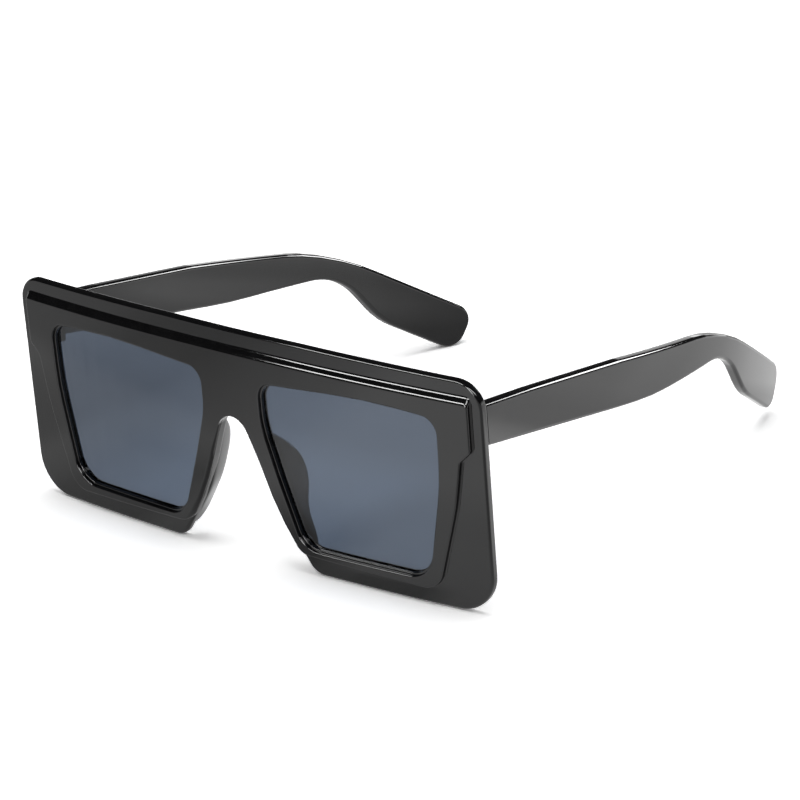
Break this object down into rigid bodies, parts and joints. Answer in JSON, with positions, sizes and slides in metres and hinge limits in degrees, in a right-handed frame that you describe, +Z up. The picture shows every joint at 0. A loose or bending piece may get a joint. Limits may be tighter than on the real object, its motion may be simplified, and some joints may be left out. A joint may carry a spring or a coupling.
{
  "type": "oversized sunglasses",
  "caption": "Oversized flat-top sunglasses with a thick stepped front, tinted lenses and broad folding temples.",
  "frame": {"origin": "middle of the overall box at the height of the surface that the open glasses rest on", "axes": "+X to the wearer's left, +Y from the front back along the temples, +Z up from the surface"},
  "size_m": [0.145, 0.1586, 0.0596],
  "materials": {
    "frame_plastic": "polished black plastic with a soft sheen",
    "lens_tint": "grey-blue tinted plastic lens",
    "hinge_steel": "satin nickel-plated hinge",
    "core_wire": "drawn wire inside the temple"
  },
  "bodies": {
    "front": {"front_frame": "frame_plastic", "lens_left": "lens_tint", "lens_right": "lens_tint", "nose_pad_left": "frame_plastic", "nose_pad_right": "frame_plastic", "front_leaf_left": "hinge_steel", "front_leaf_right": "hinge_steel", "hinge_screw_left": "hinge_steel", "hinge_screw_right": "hinge_steel", "front_rivets_left": "hinge_steel", "front_rivets_right": "hinge_steel"},
    "left_arm": {"temple_left": "frame_plastic", "temple_core_left": "core_wire", "temple_leaf_left": "hinge_steel", "temple_rivets_left": "hinge_steel"},
    "right_arm": {"temple_right": "frame_plastic", "temple_core_right": "core_wire", "temple_leaf_right": "hinge_steel", "temple_rivets_right": "hinge_steel"}
  },
  "joints": [
    {"name": "left_fold", "type": "hinge", "parent": "front", "child": "left_arm", "pos_m": [0.0666, -0.06861, 0.04733], "axis": [0, -0.0614, 0.9981], "range_deg": [0, 78]},
    {"name": "right_fold", "type": "hinge", "parent": "front", "child": "right_arm", "pos_m": [-0.0666, -0.06861, 0.04733], "axis": [0, 0.0614, -0.9981], "range_deg": [0, 85]}
  ]
}
